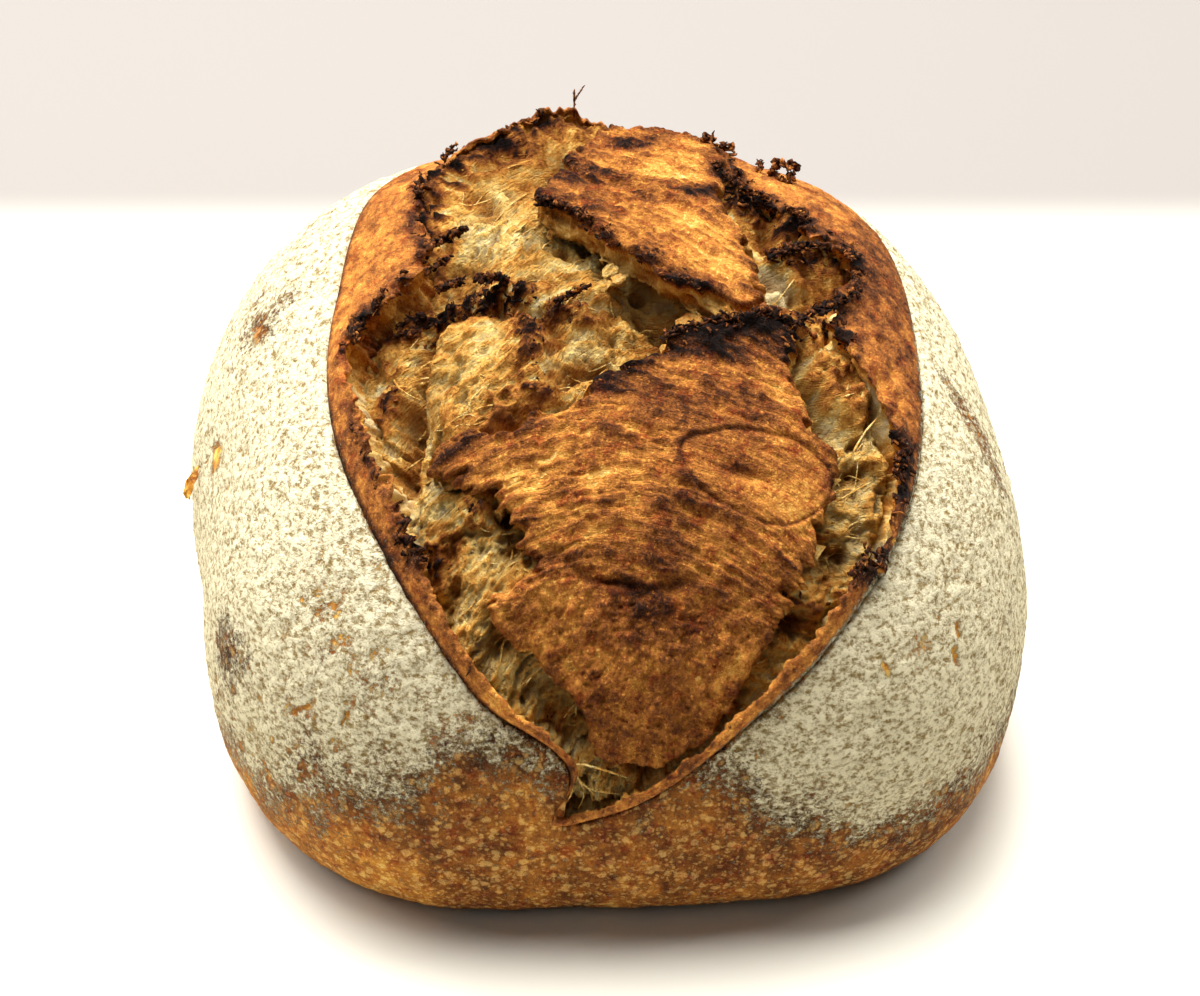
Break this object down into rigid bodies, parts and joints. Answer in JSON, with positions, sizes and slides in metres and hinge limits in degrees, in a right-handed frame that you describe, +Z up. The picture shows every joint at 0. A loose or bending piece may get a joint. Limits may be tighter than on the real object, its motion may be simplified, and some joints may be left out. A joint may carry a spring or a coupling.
{
  "type": "round sourdough loaf",
  "caption": "Round floured sourdough loaf with a flat base, burst open over its top into a torn lip, open crumb and browned plates of dough.",
  "frame": {"origin": "middle of the loaf's flat base, under the middle of its box", "axes": "+Z up through the crown, +X to the right and along the longest side, -Y towards the low front tip of the burst"},
  "size_m": [0.2388, 0.2196, 0.1433],
  "materials": {
    "crust": "matt baked crust with flour"
  },
  "bodies": {
    "root": {"loaf": "crust"}
  },
  "joints": []
}
